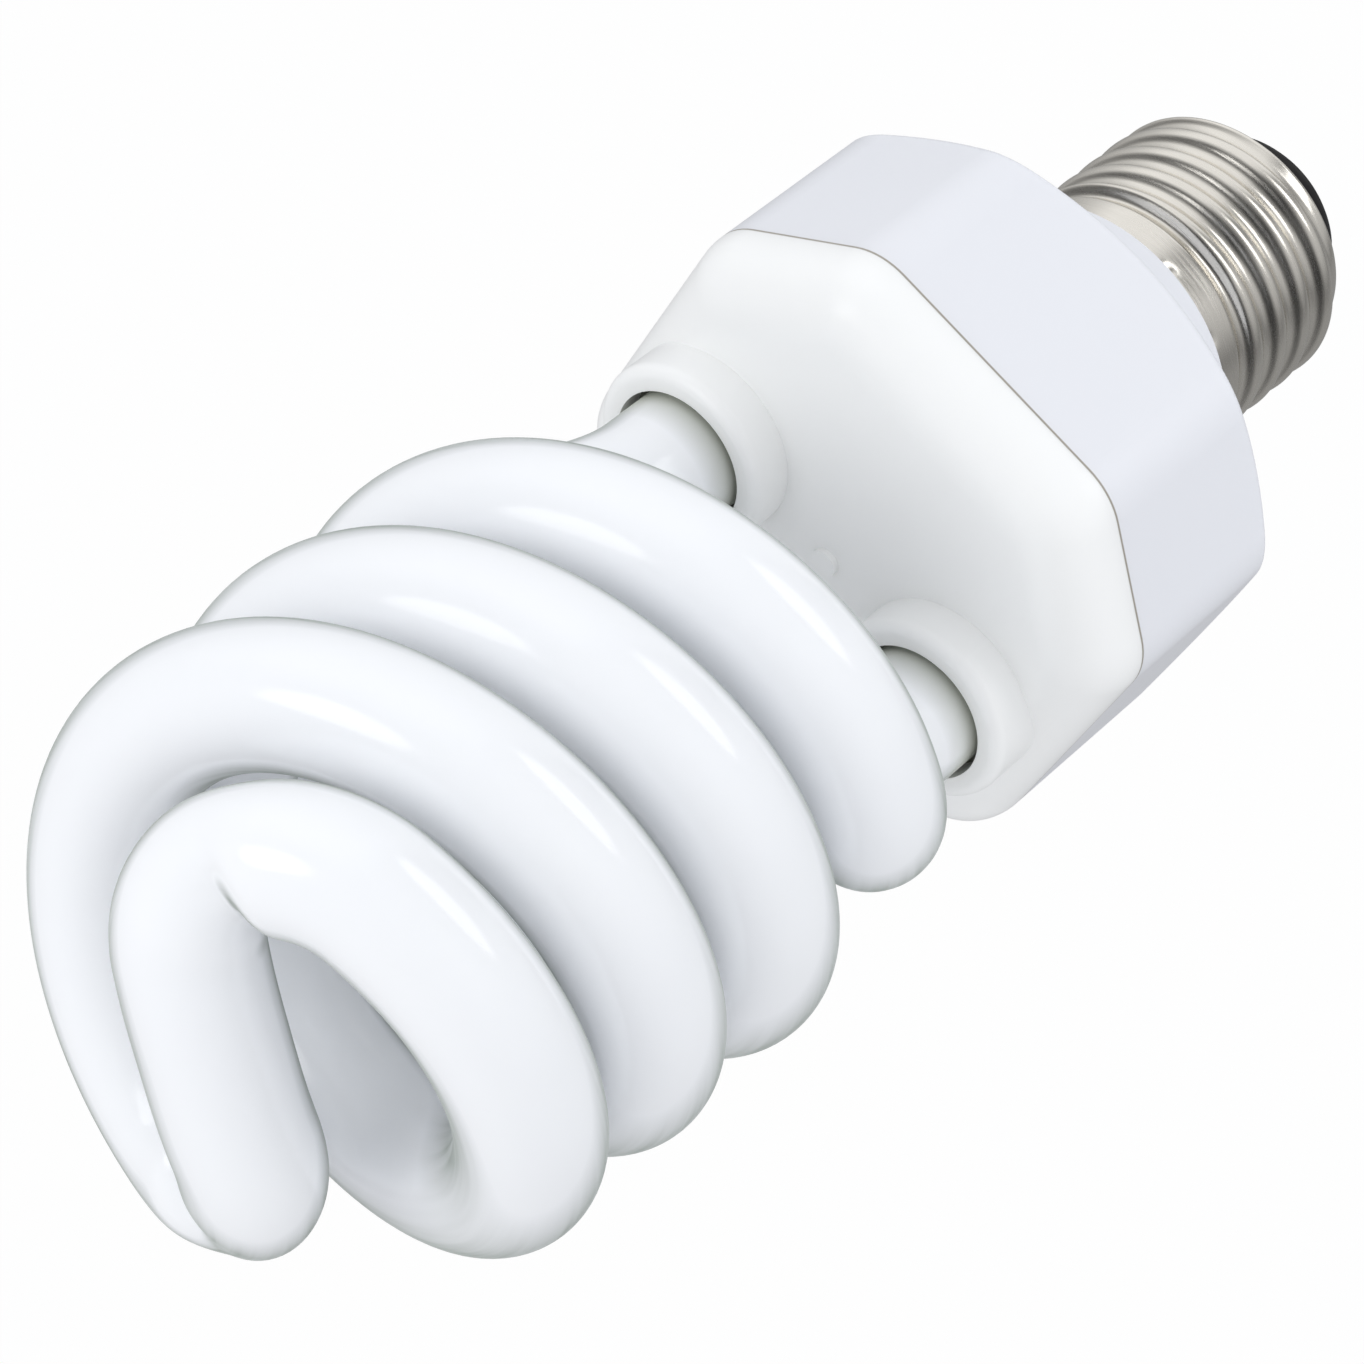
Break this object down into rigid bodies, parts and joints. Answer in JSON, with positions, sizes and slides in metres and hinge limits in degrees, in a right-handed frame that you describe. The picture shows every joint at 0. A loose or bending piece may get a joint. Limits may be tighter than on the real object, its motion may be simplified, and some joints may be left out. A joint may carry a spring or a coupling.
{
  "type": "reptile uvb bulb",
  "caption": "Compact fluorescent lamp: white glass tube bent into a double spiral on a white housing with a threaded metal screw cap.",
  "frame": {"origin": "centre of the flat end of the centre contact, on the lamp axis", "axes": "+Z along the lamp axis from the screw cap to the tip of the spiral; the two legs of the tube stand on +Y and -Y; +X is the side with the two punch marks"},
  "size_m": [0.0556, 0.0556, 0.1451],
  "materials": {
    "opal_glass": "gloss",
    "lid_plastic": "semi-gloss",
    "body_plastic": "semi-gloss",
    "cement": "matt",
    "nickel": "satin",
    "black_glass": "gloss",
    "solder": "satin",
    "board": "matt",
    "sleeve": "gloss",
    "ferrite": "matt",
    "bobbin": "matt",
    "enamelled_wire": "gloss",
    "ring_ferrite": "matt",
    "transistor_case": "matt",
    "diode_case": "matt",
    "resistor_case": "matt",
    "diode_glass": "gloss",
    "fuse_sleeve": "matt",
    "film_case": "gloss",
    "tinned": "satin",
    "wire_insulation": "matt"
  },
  "bodies": {
    "root": {"discharge_tube": "opal_glass", "lower_shell": "lid_plastic", "upper_shell": "body_plastic", "tube_cement": "cement", "screw_shell": "nickel", "insulator": "black_glass", "centre_contact": "solder", "circuit_board": "board", "smoothing_capacitor": "sleeve", "choke_core": "ferrite", "choke_bobbin": "bobbin", "choke_winding": "enamelled_wire", "ring_core": "ring_ferrite", "ring_windings": "enamelled_wire", "transistor_1": "transistor_case", "transistor_2": "transistor_case", "rectifier_diodes": "diode_case", "resistors": "resistor_case", "trigger_diode": "diode_glass", "fuse_resistor": "fuse_sleeve", "resonant_capacitor": "film_case", "film_capacitor": "film_case", "filter_core": "ferrite", "filter_winding": "enamelled_wire", "wrap_pins": "tinned", "filament_leads": "tinned", "live_wire": "wire_insulation", "neutral_wire": "wire_insulation"}
  },
  "joints": []
}
